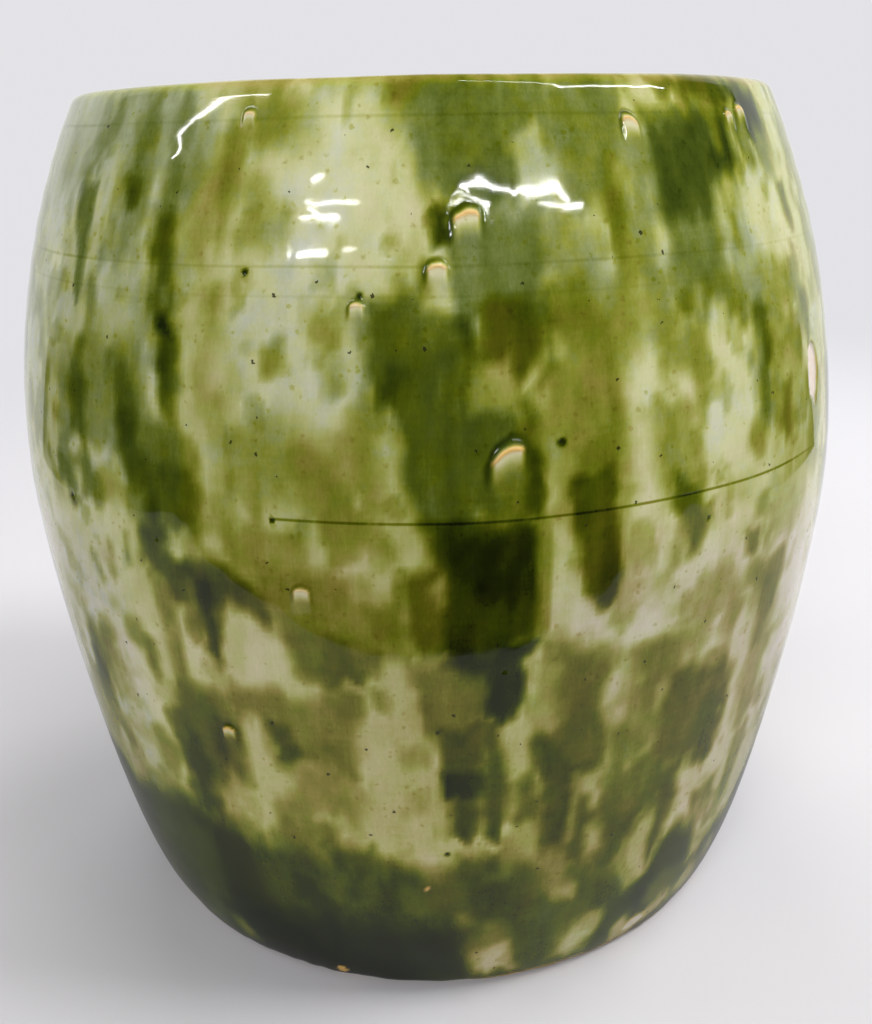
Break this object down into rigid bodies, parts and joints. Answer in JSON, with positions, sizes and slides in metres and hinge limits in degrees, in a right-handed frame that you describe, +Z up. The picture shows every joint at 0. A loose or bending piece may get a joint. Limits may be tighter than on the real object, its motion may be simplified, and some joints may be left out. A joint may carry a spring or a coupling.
{
  "type": "storage jar",
  "caption": "Open, wide-mouthed storage jar of thrown earthenware with a swelling belly, a rolled lip, a recessed foot and a coat of mottled green glaze outside and inside.",
  "frame": {"origin": "middle of the foot, on the surface that the jar stands on", "axes": "+Z up along the turning axis, -Y towards the viewer of the picture, +X to the viewer's right"},
  "size_m": [0.25, 0.25, 0.243],
  "materials": {
    "biscuit_clay": "bare fired clay, matt and slightly gritty",
    "mottled_green_glaze": "glossy lead-type glaze, mottled from cream and pale green to deep bottle green, with runs and pinholes",
    "pale_green_glaze": "glossy thin glaze over the clay, pale green and cream"
  },
  "bodies": {
    "root": {"clay_body": "biscuit_clay", "outer_glaze": "mottled_green_glaze", "inner_glaze": "pale_green_glaze"}
  },
  "joints": []
}
